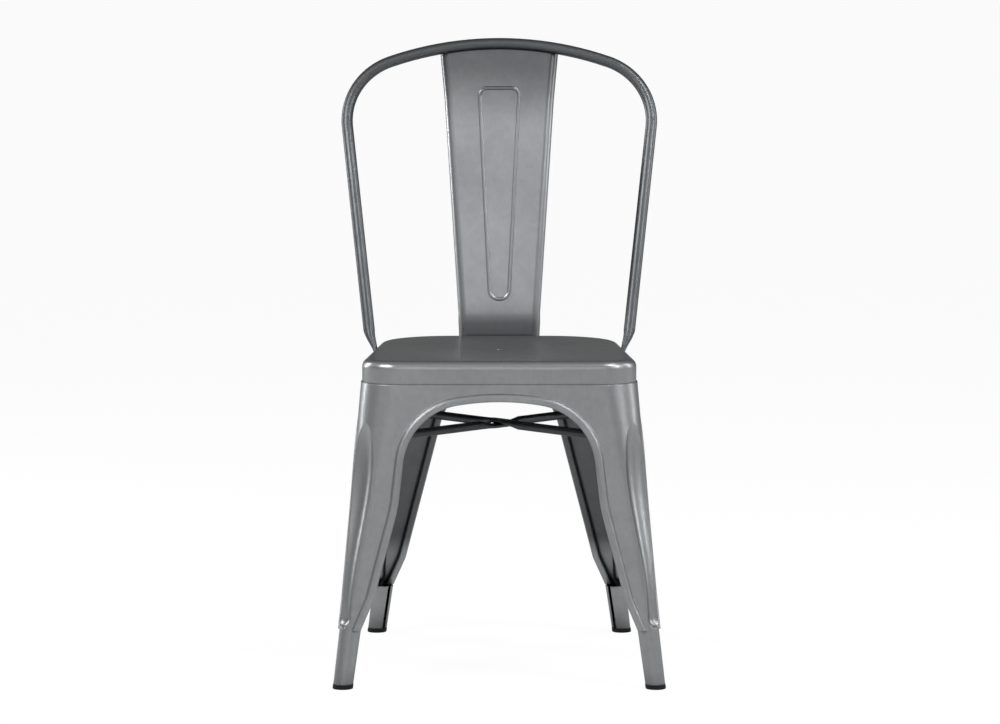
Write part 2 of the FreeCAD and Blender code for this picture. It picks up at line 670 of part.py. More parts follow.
def blade_frame():
    """Place and directions of the left blade on the leg's side face: centre line point at height z."""
    origin, rearwards, down, outwards = side_plane()
    lean = math.radians(HOOP_LEAN)
    along = (down * math.cos(lean) - rearwards * math.sin(lean)).normalize()
    across = along.cross(outwards).normalize()
    start = origin + rearwards * (HOOP_BEHIND_CENTRE / rearwards.y)

    def centre(z, thickness=HOOP_BLADE_THICKNESS):
        on_face = start + along * ((start.z - z) / -along.z)
        return on_face + outwards * (thickness / 2)
    return centre, along, across, outwards


def hoop_end(inset):
    """Left end of the hoop: the round tube pressed over a short length into a flat blade."""
    foot, way, wide, thin = hoop_foot()
    if thin.x < 0:
        thin = thin * -1
    centre, along, across, outwards = blade_frame()
    if across.dot(wide) < 0:
        across = across * -1
    sections = []
    steps = 4
    for i in range(steps + 1):
        share = i / steps
        ease = share * share * (3 - 2 * share)
        z = foot.z + (SEAM_Z + HOOP_BLADE_RISE - foot.z) * share
        thickness = HOOP_DIAMETER + (HOOP_BLADE_THICKNESS - HOOP_DIAMETER) * share
        width = HOOP_DIAMETER + (HOOP_BLADE_WIDTH - HOOP_DIAMETER) * share
        on_tube = foot + way * ((foot.z - z) / -way.z)
        place = on_tube * (1 - ease) + centre(z, thickness) * ease
        sections.append(oval_section(place, (wide * (1 - ease) + across * ease).normalize(),
                                     (thin * (1 - ease) + outwards * ease).normalize(),
                                     width - 2 * inset, max(thickness - 2 * inset, 0.3)))
    pressed = Part.makeLoft(sections, True, False)
    if inset:
        return pressed
    blade = [oval_section(centre(z), across, outwards, HOOP_BLADE_WIDTH, HOOP_BLADE_THICKNESS)
             for z in (SEAM_Z + HOOP_BLADE_RISE, SEAM_Z - HOOP_BLADE_DROP)]
    return pressed.fuse(Part.makeLoft(blade, True, True))


def back_hoop():
    """Bent tube, hollow, with a flat blade at each end."""
    left = hoop_end(0)
    outer = hoop_bar(HOOP_DIAMETER / 2).fuse([left, mirrored(left)])
    left_void = hoop_end(HOOP_WALL)
    void = hoop_bar(HOOP_DIAMETER / 2 - HOOP_WALL)
    return outer.cut([void, left_void, mirrored(left_void)])


def splat_frame():
    """Origin at the bend line in the middle, across, up the sheet, and backwards."""
    origin = V(0, SEAT_REAR_Y, SEAT_TOP + SPLAT_BEND_RISE)
    hoop_origin, right, hoop_up, hoop_back = hoop_frame()
    top = hoop_origin + hoop_up * HOOP_TOP_UP
    up = (top - origin).normalize()
    back = V(1, 0, 0).cross(up) * -1
    return origin, V(1, 0, 0), up, back


def splat_section(place, back, half_width):
    """Closed outline of the sheet across the splat, its side edges rolled back."""
    right = V(1, 0, 0)
    w, r, t, lip = half_width, SPLAT_ROLL, SHEET, SPLAT_LIP
    diagonal = math.cos(math.pi / 4)

    def p(x, depth):
        return place + right * x + back * depth

    def half(sign):
        outer_mid = p(sign * (w - r + r * diagonal), r - r * diagonal)
        inner_mid = p(sign * (w - r + (r - t) * diagonal), r - (r - t) * diagonal)
        return outer_mid, inner_mid
    (left_outer, left_inner), (right_outer, right_inner) = half(1), half(-1)
    return Part.Wire([
        line(p(w, lip), p(w, r)), arc(p(w, r), left_outer, p(w - r, 0)),
        line(p(w - r, 0), p(-(w - r), 0)),
        arc(p(-(w - r), 0), right_outer, p(-w, r)), line(p(-w, r), p(-w, lip)),
        line(p(-w, lip), p(-w + t, lip)), line(p(-w + t, lip), p(-w + t, r)),
        arc(p(-w + t, r), right_inner, p(-(w - r), t)),
        line(p(-(w - r), t), p(w - r, t)),
        arc(p(w - r, t), left_inner, p(w - t, r)), line(p(w - t, r), p(w - t, lip)),
        line(p(w - t, lip), p(w, lip))])


def splat_length():
    """Length of the splat from its bend line to the hoop's centre line."""
    hoop_origin, right, hoop_up, hoop_back = hoop_frame()
    return (hoop_origin + hoop_up * HOOP_TOP_UP - splat_frame()[0]).Length


def rib_bar(radius):
    """Closed round bar along the splat's pressed outline rib."""
    origin, right, up, back = splat_frame()
    top = splat_length() - RIB_TOP_DROP
    points = [V(0, top, 0), V(RIB_TOP_HALF_WIDTH, top, 0),
              V(RIB_BOTTOM_HALF_WIDTH, RIB_BOTTOM_UP, 0), V(0, RIB_BOTTOM_UP, 0)]
    half = rounded_path(points, [RIB_TOP_RADIUS, RIB_BOTTOM_RADIUS])
    path_origin = origin + back * (RIB_RADIUS - RIB_PROUD)
    left_edges = placed(half, path_origin, right, up)
    right_edges = [mirrored(e) for e in left_edges]
    path = Part.Wire(Part.__sortEdges__(left_edges + right_edges))
    profile = Part.Wire([Part.Circle(path_origin + up * top, right, radius).toShape()])
    sweep = Part.BRepOffsetAPI.MakePipeShell(path)
    sweep.add(profile)
    sweep.build()
    sweep.makeSolid()
    return sweep.shape()


def hoop_disc(radius, half_thickness):
    """Thick disc in the hoop's plane, centred on the centre of its top arc."""
    origin, right, up, back = hoop_frame()
    centre = origin + up * (HOOP_TOP_UP - HOOP_TOP_RADIUS)
    return Part.makeCylinder(radius, 2 * half_thickness, centre - back * half_thickness, back)


def back_splat():
    """Tapered back sheet: rolled sides, pressed rib, upright foot, top coped to the hoop."""
    origin, right, up, back = splat_frame()
    length = splat_length()
    tab = V(origin.x, origin.y, SEAM_Z + SPLAT_TAB_RISE)
    sections = [splat_section(tab, V(0, 1, 0), SPLAT_FOOT_HALF_WIDTH)]
    lean = math.acos(up.z)
    bend_end = origin + up * (SPLAT_BEND_RADIUS * math.tan(lean / 2))
    bend_centre = bend_end + back * SPLAT_BEND_RADIUS
    for step in range(BEND_STEPS + 1):
        angle = lean * step / BEND_STEPS
        facing = V(0, math.cos(angle), -math.sin(angle))
        sections.append(splat_section(bend_centre - facing * SPLAT_BEND_RADIUS, facing, SPLAT_BEND_HALF_WIDTH))
    sections += [splat_section(origin + up * (length - SPLAT_WAIST_DROP), back, SPLAT_WAIST_HALF_WIDTH),
                 splat_section(origin + up * length, back, SPLAT_TOP_HALF_WIDTH)]
    sheet = Part.makeLoft(sections, True, True)
    rib = rib_bar(RIB_RADIUS)
    half = SPLAT_FOOT_HALF_WIDTH
    front_room = Part.Face(Part.makePolygon([origin - right * half, origin + right * half,
                                             origin + right * half + up * length,
                                             origin - right * half + up * length,
                                             origin - right * half]))
    front_room = front_room.extrude(back * SHEET).fuse(front_room.extrude(back * (-2 * RIB_PROUD)))
    sheet = sheet.fuse(rib.common(front_room)).cut(rib_bar(RIB_RADIUS - SHEET))
    outside = hoop_disc(HOOP_TOP_RADIUS + REACH, REACH).cut(hoop_disc(HOOP_TOP_RADIUS, REACH))
    sheet = sheet.cut([hoop_bar(HOOP_DIAMETER / 2), outside])
    return max(sheet.Solids, key=lambda s: s.Volume)


def splat_top_weld():
    """Weld bead in the corner behind the splat, along the underside of the hoop."""
    origin, right, up, back = hoop_frame()
    splat_origin, splat_right, splat_up, splat_back = splat_frame()
    apart = HOOP_DIAMETER / 2 + SEAM_WELD_RADIUS + WELD_CLEARANCE

    def at(x):
        rise = math.sqrt(HOOP_TOP_RADIUS ** 2 - x ** 2) - HOOP_TOP_RADIUS
        axis = origin + right * x + up * (HOOP_TOP_UP + rise)
        behind = SHEET + WELD_CLEARANCE + SEAM_WELD_RADIUS - (axis - splat_origin).dot(splat_back)
        return axis + splat_back * behind - splat_up * math.sqrt(apart ** 2 - behind ** 2)
    half = SPLAT_WELD_HALF_LENGTH
    path = Part.Wire([arc(at(-half), at(0), at(half))])
    profile = Part.Wire([Part.Circle(at(-half), path.Edges[0].tangentAt(path.Edges[0].FirstParameter),
                                     SEAM_WELD_RADIUS).toShape()])
    sweep = Part.BRepOffsetAPI.MakePipeShell(path)
    sweep.add(profile)
    sweep.build()
    sweep.makeSolid()
    return sweep.shape()


def splat_foot_welds():
    """Two short welds under the splat's tab, on the rear of the seat's skirt."""
    welds = []
    for side in (-1, 1):
        start = V(side * TAB_WELD_OFFSET - TAB_WELD_LENGTH / 2, SEAT_REAR_Y, SEAM_Z + SPLAT_TAB_RISE)
        bead = Part.makeCylinder(FILLET_WELD, TAB_WELD_LENGTH, start, V(1, 0, 0))
        keep = Part.makeBox(TAB_WELD_LENGTH, 2 * FILLET_WELD, 2 * FILLET_WELD,
                            start - V(0, 0, 2 * FILLET_WELD))
        welds.append(bead.common(keep))
    return Part.Compound([s for w in welds for s in w.Solids])


def hoop_end_welds(hoop):
    """Weld round the lower end of each blade, on the side face of the rear leg."""
    centre, along, across, outwards = blade_frame()
    on_face = outwards * (-HOOP_BLADE_THICKNESS / 2)
    side = across * (HOOP_BLADE_WIDTH / 2)
    low = centre(SEAM_Z - HOOP_BLADE_DROP) + on_face
    high = centre(SEAM_Z - 2 * FILLET_WELD) + on_face
    corners = [high + side, low + side, low - side, high - side]
    beads = [Part.makeCylinder(FILLET_WELD, (b - a).Length, a, b - a) for a, b in zip(corners, corners[1:])]
    beads += [Part.makeSphere(FILLET_WELD, c) for c in corners]
    leg_body = quarter_solid(REAR, 0, LAP_Z - BRACE_DROP, SEAM_Z)
    left = beads[0].fuse(beads[1:]).cut([leg_body, hoop])
    left = max(left.Solids, key=lambda s: s.Volume)
    return Part.Compound([left, mirrored(left)])


def butt_weld(sheet, plane_point, normal, way):
    """Narrow prism on the sheet's cut end, as wide as the weld, reaching half to each side."""
    ends = [face for face in sheet.Faces
            if all(abs((v.Point - plane_point).dot(normal)) < 1e-3 for v in face.Vertexes)]
    step = way * (BUTT_WELD_WIDTH / 2 / abs(way.dot(normal)))
    prisms = []
    for face in ends:
        moved = face.copy()
        moved.translate(step * -1)
        prisms.append(moved.extrude(step * 2))
    return prisms[0] if len(prisms) == 1 else prisms[0].fuse(prisms[1:]).removeSplitter()


def split_butt_welds(legs):
    """Cut a narrow butt weld out of each place where two legs meet, and return them by name."""
    half = BUTT_WELD_WIDTH / 2
    middle_slab = Part.makeBox(2 * half, 2 * REACH, REACH, V(-half, -REACH, 0))
    side_slab = Part.makeBox(2 * REACH, 2 * half, REACH, V(-REACH, SEAT_CENTRE_Y - half, 0))
    rearwards = side_plane()[1]
    left = butt_weld(legs["leg_front_left"], V(SIDE_X, SEAT_CENTRE_Y, SEAM_Z), V(0, 1, 0), rearwards)
    welds = {"apron_weld_front": butt_weld(legs["leg_front_left"], V(0, 0, 0), V(1, 0, 0), V(1, 0, 0)),
             "apron_weld_rear": butt_weld(legs["leg_rear_left"], V(0, 0, 0), V(1, 0, 0), V(1, 0, 0)),
             "apron_weld_left": left,
             "apron_weld_right": mirrored(left)}
    trimmed = {name: shape.cut([middle_slab, side_slab]) for name, shape in legs.items()}
    return trimmed, welds


def build():
    nodes = {"seat_pan": seat_pan()}
    legs = {}
    for end, word in ((FRONT, "front"), (REAR, "rear")):
        left = leg(end)
        legs["leg_%s_left" % word] = left
        legs["leg_%s_right" % word] = mirrored(left)
        cap = foot_cap(end)
        nodes["foot_cap_%s_left" % word] = cap
        nodes["foot_cap_%s_right" % word] = mirrored(cap)
    legs, welds = split_butt_welds(legs)
    nodes.update(legs)
    nodes.update(welds)
    nodes["brace_upper"] = brace(False, 1)
    nodes["brace_lower"] = brace(True, -1)
    nodes["brace_end_welds"] = brace_end_welds()
    nodes["brace_crossing_welds"] = brace_crossing_welds()
    nodes["back_hoop"] = back_hoop()
    nodes["back_splat"] = back_splat()
    nodes["hoop_end_welds"] = hoop_end_welds(nodes["back_hoop"])
    nodes["splat_top_weld"] = splat_top_weld()
    nodes["splat_foot_welds"] = splat_foot_welds()
    return nodes


os.makedirs("parts", exist_ok=True)
for node, shape in build().items():
    box = shape.BoundBox
    print("%-24s solids %d valid %s volume %9.1f  x %7.1f %7.1f  y %7.1f %7.1f  z %6.1f %6.1f" % (
        node, len(shape.Solids), shape.isValid(), shape.Volume,
        box.XMin, box.XMax, box.YMin, box.YMax, box.ZMin, box.ZMax))
    shape.exportStep("parts/%s.step" % node)
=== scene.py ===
# %% [markdown]
# # A pressed-steel bistro chair
#
# The chair is a stacking cafe chair: a dished seat pan, four legs folded from sheet steel, two crossing
# braces, a bent tube and a ribbed splat. The solids come from the CAD frame. This script gives them
# their finishes, lays some of the weld beads again with their ripples, and sets up a plain pale studio
# with the camera of the photograph.

# %% Load the frame
import json
import math

import bpy
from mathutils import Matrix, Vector


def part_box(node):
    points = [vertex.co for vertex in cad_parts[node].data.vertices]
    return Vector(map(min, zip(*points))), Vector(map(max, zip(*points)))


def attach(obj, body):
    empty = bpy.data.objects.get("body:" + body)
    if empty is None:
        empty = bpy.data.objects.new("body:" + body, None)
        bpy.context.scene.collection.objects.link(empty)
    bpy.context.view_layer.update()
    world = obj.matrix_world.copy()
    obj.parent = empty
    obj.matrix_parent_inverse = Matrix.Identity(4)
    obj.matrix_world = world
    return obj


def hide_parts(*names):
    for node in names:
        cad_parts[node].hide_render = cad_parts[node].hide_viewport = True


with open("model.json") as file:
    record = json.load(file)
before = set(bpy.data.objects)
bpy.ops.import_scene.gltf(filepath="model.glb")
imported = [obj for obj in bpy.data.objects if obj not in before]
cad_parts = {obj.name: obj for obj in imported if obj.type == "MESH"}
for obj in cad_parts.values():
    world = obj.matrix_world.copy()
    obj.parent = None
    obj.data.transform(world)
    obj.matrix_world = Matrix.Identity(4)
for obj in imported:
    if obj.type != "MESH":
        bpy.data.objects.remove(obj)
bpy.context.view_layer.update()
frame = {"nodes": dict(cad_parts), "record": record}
MM = 0.001

# %% [markdown]
# ## Camera
#
# The photograph looks at the chair from the front and a little from above. Its lens is long, so the
# rear legs look only a little smaller than the front ones. A camera is settled by its distance, its
# height, its downward tilt and its focal length. All four were found by matching the feet, the seat's
# front edge and the top of the hoop at once, because each of them alone can be matched by many cameras.

# %% Camera at the photograph's place
CAMERA_ASIDE = 1 * MM
CAMERA_DISTANCE = 6.268
CAMERA_HEIGHT = 1.0529
CAMERA_TILT = math.radians(5.8224)
SENSOR_WIDTH = 36.0
FOCAL_LENGTH = 4.57455 * SENSOR_WIDTH

camera_data = bpy.data.cameras.new("photo_camera")
camera_data.sensor_width = SENSOR_WIDTH
camera_data.lens = FOCAL_LENGTH
camera = bpy.data.objects.new("photo_camera", camera_data)
camera.location = (CAMERA_ASIDE, -CAMERA_DISTANCE, CAMERA_HEIGHT)
camera.rotation_euler = (math.pi / 2 - CAMERA_TILT, 0, 0)
bpy.context.scene.collection.objects.link(camera)
bpy.context.scene.camera = camera
print("lens in mm:", round(FOCAL_LENGTH, 1))

# %% [markdown]
# ## Small helpers for materials
#
# Colours are written as sRGB hex values, as a paint chart gives them, and one function turns them to
# the linear numbers that the renderer needs. A second function adds a node, sets it up and links it, so
# that each finish below reads as a short recipe.

# %% Helpers


def linear(hex_colour):
    """An sRGB hex colour as linear RGBA."""
    channels = [int(hex_colour[i:i + 2], 16) / 255 for i in (1, 3, 5)]
    return [c / 12.92 if c <= 0.04045 else ((c + 0.055) / 1.055) ** 2.4 for c in channels] + [1.0]


def add(tree, kind, settings=None, **inputs):
    """A new node of that kind with its settings, inputs and links.

    Inputs are named with underscores for spaces, or i0, i1 and so on for their number. An input given as
    another node's socket is linked. The setting "stops" fills a colour ramp with (position, colour).
    """
    node = tree.nodes.new(kind)
    for name, value in (settings or {}).items():
        if name != "stops":
            setattr(node, name, value)
            continue
        elements = node.color_ramp.elements
        while len(elements) < len(value):
            elements.new(0.5)
        for element, (position, colour) in zip(elements, value):
            element.position, element.color = position, colour
    for name, value in inputs.items():
        key = int(name[1:]) if name[0] == "i" and name[1:].isdigit() else name.replace("_", " ")
        if isinstance(value, bpy.types.NodeSocket):
            tree.links.new(value, node.inputs[key])
        else:
            node.inputs[key].default_value = value
    return node


def new_material(name):
    """An empty material and its tree, with an output node."""
    material = bpy.data.materials.new(name)
    material.use_nodes = True
    tree = material.node_tree
    tree.nodes.clear()
    return material, tree, tree.nodes.new("ShaderNodeOutputMaterial")


# %% [markdown]
# ## Clear-coated pressed steel
#
# The sheet is cold-rolled steel, brushed, pressed into shape and then clear-coated instead of painted.
# Three things make it look like that and not like plain grey. Brushing leaves fine parallel scratches,
# which smear a highlight across them. The coat is a thin smooth skin, so a lamp still shows in it as a
# small clear spot on the blurred one. Where two sheets meet or a corner folds inwards, shade is painted
# into the colour: an Ambient Occlusion node finds those nooks and darkens the steel there. A Bevel node
# rounds the pressed edges in the light without another face. A real scratch is about 0.1 mm wide, too
# fine to show here, so the grain is drawn at about 1.2 mm.

# %% Sizes and shares of the steel's pattern
GRAIN_WIDTH = 1.2 * MM
GRAIN_STRETCH = 70              # length of a scratch in widths
CLOUD_SIZE = 110 * MM
SMUDGE_SIZE = 14 * MM
SMUDGE_SHARE = 0.35             # of the slow pattern, the rest is clouds
GRAIN_SHARE = 0.22              # of the whole tone
SCRATCH_DEPTH = 0.1 * MM
COAT_ROUGHNESS = 0.14
EDGE_TINT = "#c0c0c0"           # what the steel reflects at a glancing angle
MULTIPLIED = {"data_type": "RGBA", "blend_type": "MULTIPLY"}
EASED = {"interpolation_type": "SMOOTHSTEP"}

# %% [markdown]
# ## Two places where the pressed legs differ
#
# The rear legs turn their inner side to the front, where it lies in shade. That shade is painted: faces
# that look forward are darkened, down to the foot tube, which is brushed all round and keeps its colour.
# The unbrushed inside of a folded sheet adds a little to it. And where two legs meet in the middle of an
# apron the butt weld is ground flush. A rounded edge would draw a line there that the real chair doesn't
# have, so the rounding fades out beside it.

# %% Masks for the painted shade on the inner side and for the flush welds
FORWARD_FROM, FORWARD_TO = -0.35, -0.8
TUBE_FADE_FROM, TUBE_FADE_TO = 110 * MM, 145 * MM
FLUSH_FROM, FLUSH_TO = 5 * MM, 12 * MM


def painted_inner_shade_share(tree, height):
    """How much painted shade a face takes on a leg's inner side: it looks forward, above the foot tube."""
    facing = add(tree, "ShaderNodeNewGeometry").outputs["True Normal"]
    forward = add(tree, "ShaderNodeSeparateXYZ", i0=facing).outputs["Y"]
    looks_forward = add(tree, "ShaderNodeMapRange", EASED, Value=forward,
                        From_Min=FORWARD_FROM, From_Max=FORWARD_TO).outputs[0]
    above_tube = add(tree, "ShaderNodeMapRange", EASED, Value=height,
                     From_Min=TUBE_FADE_FROM, From_Max=TUBE_FADE_TO).outputs[0]
    return add(tree, "ShaderNodeMath", {"operation": "MULTIPLY"},
               i0=looks_forward, i1=above_tube).outputs[0]


def plain_beside_welds(tree, place, rounded, seam_depth):
    """The rounded normal, faded to the plain one beside the welds at X 0 and at Y seam_depth."""
    spot = add(tree, "ShaderNodeSeparateXYZ", i0=place).outputs
    sideways = add(tree, "ShaderNodeMath", {"operation": "ABSOLUTE"}, i0=spot["X"]).outputs[0]
    from_seam = add(tree, "ShaderNodeMath", {"operation": "SUBTRACT"},
                    i0=spot["Y"], i1=seam_depth).outputs[0]
    lengthways = add(tree, "ShaderNodeMath", {"operation": "ABSOLUTE"}, i0=from_seam).outputs[0]
    beside = add(tree, "ShaderNodeMath", {"operation": "MINIMUM"}, i0=sideways, i1=lengthways).outputs[0]
    share = add(tree, "ShaderNodeMapRange", EASED, Value=beside,
                From_Min=FLUSH_FROM, From_Max=FLUSH_TO).outputs[0]
    plain = add(tree, "ShaderNodeNewGeometry").outputs["Normal"]
    return add(tree, "ShaderNodeMix", {"data_type": "VECTOR"}, i0=share, i4=plain, i5=rounded).outputs[1]


# %% Brushed steel under a clear coat
def brushed_steel(name, light, dark, roughness, coat=0.2, grain_axis="Z", painted_shade_reach=20 * MM,
                  painted_shade_colour="#505052", edge_radius=1.5 * MM, painted_shade_bands=(), painted_inner_shade=None, seam_depth=None):
    """Brushed steel: scratches along an axis, slow clouds of tone, painted shade in nooks and a clear coat.

    The bands of heights, as (from, to, tint), are painted shade: the steel darkens from the first height
    to the second. The inner-side tint is painted shade on a leg's inner side. seam_depth is the Y of the
    flush side welds.
    """
    material, tree, output = new_material(name)
    place = add(tree, "ShaderNodeTexCoord").outputs["Object"]
    stretch = [1 / GRAIN_WIDTH] * 3
    stretch["XYZ".index(grain_axis)] = 1 / (GRAIN_WIDTH * GRAIN_STRETCH)
    grain_place = add(tree, "ShaderNodeMapping", Vector=place, Scale=stretch).outputs[0]
    grain = add(tree, "ShaderNodeTexNoise", Vector=grain_place, Scale=1.0, Detail=2.0).outputs["Fac"]
    clouds = add(tree, "ShaderNodeTexNoise", Vector=place, Scale=1 / CLOUD_SIZE,
                 Detail=3.0).outputs["Fac"]
    smudge = add(tree, "ShaderNodeTexNoise", Vector=place, Scale=1 / SMUDGE_SIZE, Detail=2.0,
                 Distortion=0.6).outputs["Fac"]
    slow = add(tree, "ShaderNodeMix", i0=SMUDGE_SHARE, i2=clouds, i3=smudge).outputs[0]
    tone = add(tree, "ShaderNodeMix", i0=GRAIN_SHARE, i2=slow, i3=grain).outputs[0]
    colour = add(tree, "ShaderNodeValToRGB", {"stops": [(0.36, linear(dark)), (0.64, linear(light))]},
                 i0=tone).outputs["Color"]
    height = add(tree, "ShaderNodeSeparateXYZ", i0=place).outputs["Z"]
    # Painted shade: each band of height darkens the steel towards its tint.
    for start, end, tint in painted_shade_bands:
        share = add(tree, "ShaderNodeMapRange", EASED, Value=height, From_Min=start, From_Max=end)
        colour = add(tree, "ShaderNodeMix", MULTIPLIED, i0=share.outputs[0], i6=colour,
                     i7=linear(tint)).outputs[2]
    # Painted shade on a leg's inner side, on faces that look forward.
    if painted_inner_shade:
        colour = add(tree, "ShaderNodeMix", MULTIPLIED, i0=painted_inner_shade_share(tree, height), i6=colour,
                     i7=linear(painted_inner_shade)).outputs[2]
    # Painted shade: the Ambient Occlusion node darkens the colour in nooks, creases and between parts.
    open_air = add(tree, "ShaderNodeAmbientOcclusion", {"samples": 8}, Distance=painted_shade_reach).outputs["AO"]
    nook_painted_shade = add(tree, "ShaderNodeValToRGB", {"stops": [(0.2, linear(painted_shade_colour)), (0.8, linear("#ffffff"))]},
               i0=open_air).outputs["Color"]
    colour = add(tree, "ShaderNodeMix", MULTIPLIED, i0=1.0, i6=colour, i7=nook_painted_shade).outputs[2]
    rough = add(tree, "ShaderNodeMapRange", Value=tone, From_Min=0.3, From_Max=0.7,
                To_Min=roughness + 0.05, To_Max=roughness - 0.05).outputs[0]
    edge = add(tree, "ShaderNodeBevel", {"samples": 4}, Radius=edge_radius).outputs[0]
    if seam_depth is not None:
        edge = plain_beside_welds(tree, place, edge, seam_depth)
    bump = add(tree, "ShaderNodeBump", Height=grain, Strength=0.05, Distance=SCRATCH_DEPTH, Normal=edge)
    shader = add(tree, "ShaderNodeBsdfPrincipled", Base_Color=colour, Metallic=1.0, Roughness=rough,
                 Normal=bump.outputs[0], Specular_Tint=linear(EDGE_TINT), Coat_Weight=coat,
                 Coat_Roughness=COAT_ROUGHNESS, Coat_Normal=edge)
    tree.links.new(shader.outputs[0], output.inputs["Surface"])
    return material


# %% [markdown]
# ## The steels of this chair
#
# The seat pan is the plain case. The legs are rubbed softer, with wider pressed edges and deep painted
# shade inside. The splat is the smoothest sheet and takes a thicker coat, so lamps draw bright lines on
# its rolled edges. Painted shade darkens its top under the hoop, and a painted reflection of the dark seat
# darkens its foot. The hoop's tube is a darker, duller steel, the braces are darker still with painted
# shade, as they lie under the seat, and the beads are wire-brushed.

# %% Steel finishes
splat_low, splat_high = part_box("back_splat")
side_weld_low, side_weld_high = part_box("apron_weld_left")
# The legs take deep, dark painted shade inside their folds and corners.
LEG_LOOK = {"light": "#8b8d8e", "dark": "#7e8082", "roughness": 0.40, "coat": 0.12,
            "painted_shade_reach": 60 * MM, "painted_shade_colour": "#1c1c1d", "edge_radius": 3 * MM,
            "seam_depth": (side_weld_low[1] + side_weld_high[1]) / 2}
# Painted shade under the hoop at the splat's top, and a painted reflection of the dark seat at its foot.
SPLAT_PAINTED_SHADE = [(splat_high[2] - 120 * MM, splat_high[2] - 15 * MM, "#a0a1a2"),
              (splat_low[2] + 80 * MM, splat_low[2] + 25 * MM, "#c8c9ca")]

sheet_steel = brushed_steel("clear_coated_brushed_steel", "#8f9192", "#828486", 0.36)
leg_steel = brushed_steel("clear_coated_pressed_legs", **LEG_LOOK)
# The rear legs take painted shade on their inner side, where it looks forward.
rear_leg_steel = brushed_steel("pressed_legs_with_painted_inner_shade", painted_inner_shade="#a4a4a6", **LEG_LOOK)
splat_steel = brushed_steel("clear_coated_brushed_splat", "#8d8f91", "#808285", 0.34, coat=0.4,
                            painted_shade_reach=8 * MM, painted_shade_colour="#808080", edge_radius=1 * MM, painted_shade_bands=SPLAT_PAINTED_SHADE)
hoop_steel = brushed_steel("clear_coated_steel_tube", "#595b5d", "#4e5052", 0.42, coat=0.05)
# The braces' darker colour is painted shade, for they lie under the seat.
brace_steel = brushed_steel("steel_tube_with_painted_shade", "#47484a", "#393a3c", 0.40, coat=0.05)
weld_steel = brushed_steel("wire_brushed_weld_steel", "#8a8c8e", "#6c6e70", 0.42, grain_axis="X")
for steel in (sheet_steel, leg_steel, rear_leg_steel, splat_steel, hoop_steel, brace_steel, weld_steel):
    print("finish:", steel.name, "nodes:", len(steel.node_tree.nodes))

# %% [markdown]
# ## Rubber feet
#
# The caps are black moulded rubber. It is matt, with hardly any sheen from the mould, and a fine grit
# in its surface keeps it from looking like paint.

# %% Moulded rubber
GRIT_SIZE = 1.2 * MM
GRIT_DEPTH = 0.1 * MM

rubber, tree, output = new_material("moulded_black_rubber")
place = add(tree, "ShaderNodeTexCoord").outputs["Object"]
grit = add(tree, "ShaderNodeTexNoise", Vector=place, Scale=1 / GRIT_SIZE, Detail=3.0).outputs["Fac"]
colour = add(tree, "ShaderNodeValToRGB", {"stops": [(0.3, linear("#0a0a0b")), (0.8, linear("#131314"))]},
             i0=grit).outputs["Color"]
bump = add(tree, "ShaderNodeBump", Height=grit, Strength=0.2, Distance=GRIT_DEPTH).outputs[0]
shader = add(tree, "ShaderNodeBsdfPrincipled", Base_Color=colour, Roughness=0.7, IOR=1.52,
             Specular_IOR_Level=0.15, Normal=bump)
tree.links.new(shader.outputs[0], output.inputs["Surface"])
print("rubber nodes:", len(tree.nodes))

# %% Finish of every CAD node
SLOT_FINISH = {"pressed_steel": sheet_steel, "bent_tube": brace_steel, "weld": weld_steel,
               "rubber": rubber}
# A node whose name starts like this has its own finish; a later line wins over an earlier one.
NODE_FINISH = {"back_splat": splat_steel, "back_hoop": hoop_steel, "leg": leg_steel,
               "leg_rear": rear_leg_steel, "apron_weld": leg_steel}
for entry in frame["record"]["subparts"]:
    name = entry["node"]
    finish = SLOT_FINISH[entry["material_slot"]]
    for start, own_finish in NODE_FINISH.items():
        if name.startswith(start):
            finish = own_finish
    node = frame["nodes"][name]
    node.data.materials.clear()
    node.data.materials.append(finish)
print("finished nodes:", len(frame["nodes"]))

# %% [markdown]
# ## Weld beads
#
# Nothing on this chair turns or slides: the beads are its joints. A welder lays a bead as a row of
# small overlapping puddles, so its surface swells and shrinks once in about two millimetres. The CAD
# frame holds the beads as smooth rods. Here two of them are laid again along the same path: the seam
# behind the splat's top and the ring round each end of a brace. Ripples could be modelled one by one,
# or drawn as a bump. One Geometry Nodes group does it in real shape for any path: it gives the path a
# skin whose radius follows the row of puddles. First the paths are read from the frame's own beads.

# %% Separate the beads of a node
import bmesh
import numpy as np


def separate_beads(name):
    """The vertex places of each separate bead of a node, from a merged copy of its mesh."""
    copy = bmesh.new()
    copy.from_mesh(frame["nodes"][name].data)
    bmesh.ops.remove_doubles(copy, verts=copy.verts, dist=0.02 * MM)
    waiting, beads = set(copy.verts), []
    while waiting:
        reached, found = [waiting.pop()], []
        while reached:
            vertex = reached.pop()
            found.append(tuple(vertex.co))
            for edge in vertex.link_edges:
                other = edge.other_vert(vertex)
                if other in waiting:
                    waiting.remove(other)
                    reached.append(other)
        beads.append(np.array(found))
    copy.free()
    print(name, "separate beads:", len(beads))
    return beads


# %% Paths of the beads
PATH_STEP = 0.35 * MM
SEAM_SLICES = 24
RING_SLICES = 48


def seam_path(points):
    """The centre line of a bead that runs across the chair."""
    low, high = points[:, 0].min(), points[:, 0].max()
    slices = np.linspace(low, high, SEAM_SLICES)
    heights = np.polyfit(points[:, 0], points[:, 2], 2)
    depths = np.polyfit(points[:, 0], points[:, 1], 2)
    return [(x, np.polyval(depths, x), np.polyval(heights, x)) for x in slices]


